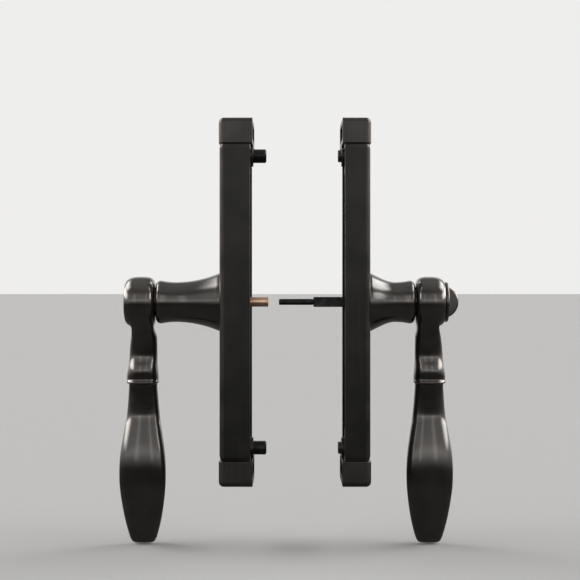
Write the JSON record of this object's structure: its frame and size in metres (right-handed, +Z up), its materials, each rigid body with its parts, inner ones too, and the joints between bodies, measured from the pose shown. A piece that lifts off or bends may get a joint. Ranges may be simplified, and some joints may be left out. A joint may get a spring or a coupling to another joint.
{
  "type": "storm door latch lever set",
  "caption": "Exterior and interior lever halves of a mortise latch for a screen or storm door, on long escutcheons, with key cylinder, thumb-turn and drive spindle.",
  "frame": {"origin": "on the spindle's axis, midway between the two posts of the exterior half, in the plane where its caps meet the door", "axes": "+X through the door from the exterior to the interior, +Z up, +Y away from the picture's viewer, in the plane of the door"},
  "size_m": [0.1736, 0.0366, 0.2164],
  "materials": {
    "bronze_satin": "satin aged bronze",
    "bronze_gloss": "semi-gloss aged bronze, rubbed to copper brown on the high spots",
    "blackened_steel": "black oxide",
    "zinc_steel": "zinc plated",
    "brass": "plain, slightly dull",
    "plug_nickel": "satin nickel plated",
    "nylon": "natural nylon"
  },
  "bodies": {
    "escutcheons": {"exterior_plate": "bronze_satin", "exterior_upper_cap": "bronze_satin", "exterior_lower_cap": "bronze_satin", "exterior_posts": "blackened_steel", "exterior_collar": "bronze_gloss", "exterior_collar_screws": "zinc_steel", "exterior_bushing": "nylon", "interior_plate": "bronze_satin", "interior_upper_cap": "bronze_satin", "interior_lower_cap": "bronze_satin", "interior_collar": "bronze_gloss", "interior_collar_screws": "zinc_steel", "interior_bushing": "nylon"},
    "exterior_handle": {"exterior_lever": "bronze_gloss", "exterior_spring_washer": "zinc_steel", "exterior_stop_washer": "zinc_steel", "exterior_retaining_ring": "zinc_steel", "cylinder_housing": "bronze_gloss"},
    "key_plug": {"cylinder_plug": "plug_nickel", "cylinder_wafers": "brass", "drive_sleeve": "brass"},
    "interior_handle": {"interior_lever": "bronze_gloss", "interior_spring_washer": "zinc_steel", "interior_stop_washer": "zinc_steel", "interior_retaining_ring": "zinc_steel", "spindle": "blackened_steel", "spindle_pin": "zinc_steel"},
    "lock_turn": {"thumb_turn": "bronze_gloss", "thumb_turn_pin": "zinc_steel", "lock_rod": "blackened_steel"}
  },
  "joints": [
    {"name": "exterior_lever_turn", "type": "hinge", "parent": "escutcheons", "child": "exterior_handle", "pos_m": [-0.0165, 0, 0], "axis": [1, 0, 0], "range_deg": [-90, 90]},
    {"name": "interior_lever_turn", "type": "hinge", "parent": "escutcheons", "child": "interior_handle", "pos_m": [0.05895, 0, 0], "axis": [1, 0, 0], "range_deg": [-90, 90]},
    {"name": "key_turn", "type": "hinge", "parent": "exterior_handle", "child": "key_plug", "pos_m": [-0.06525, 0, 0], "axis": [1, 0, 0], "range_deg": [0, 90]},
    {"name": "thumb_turn_turn", "type": "hinge", "parent": "interior_handle", "child": "lock_turn", "pos_m": [0.0979, 0, 0], "axis": [1, 0, 0], "range_deg": [0, 90]}
  ]
}
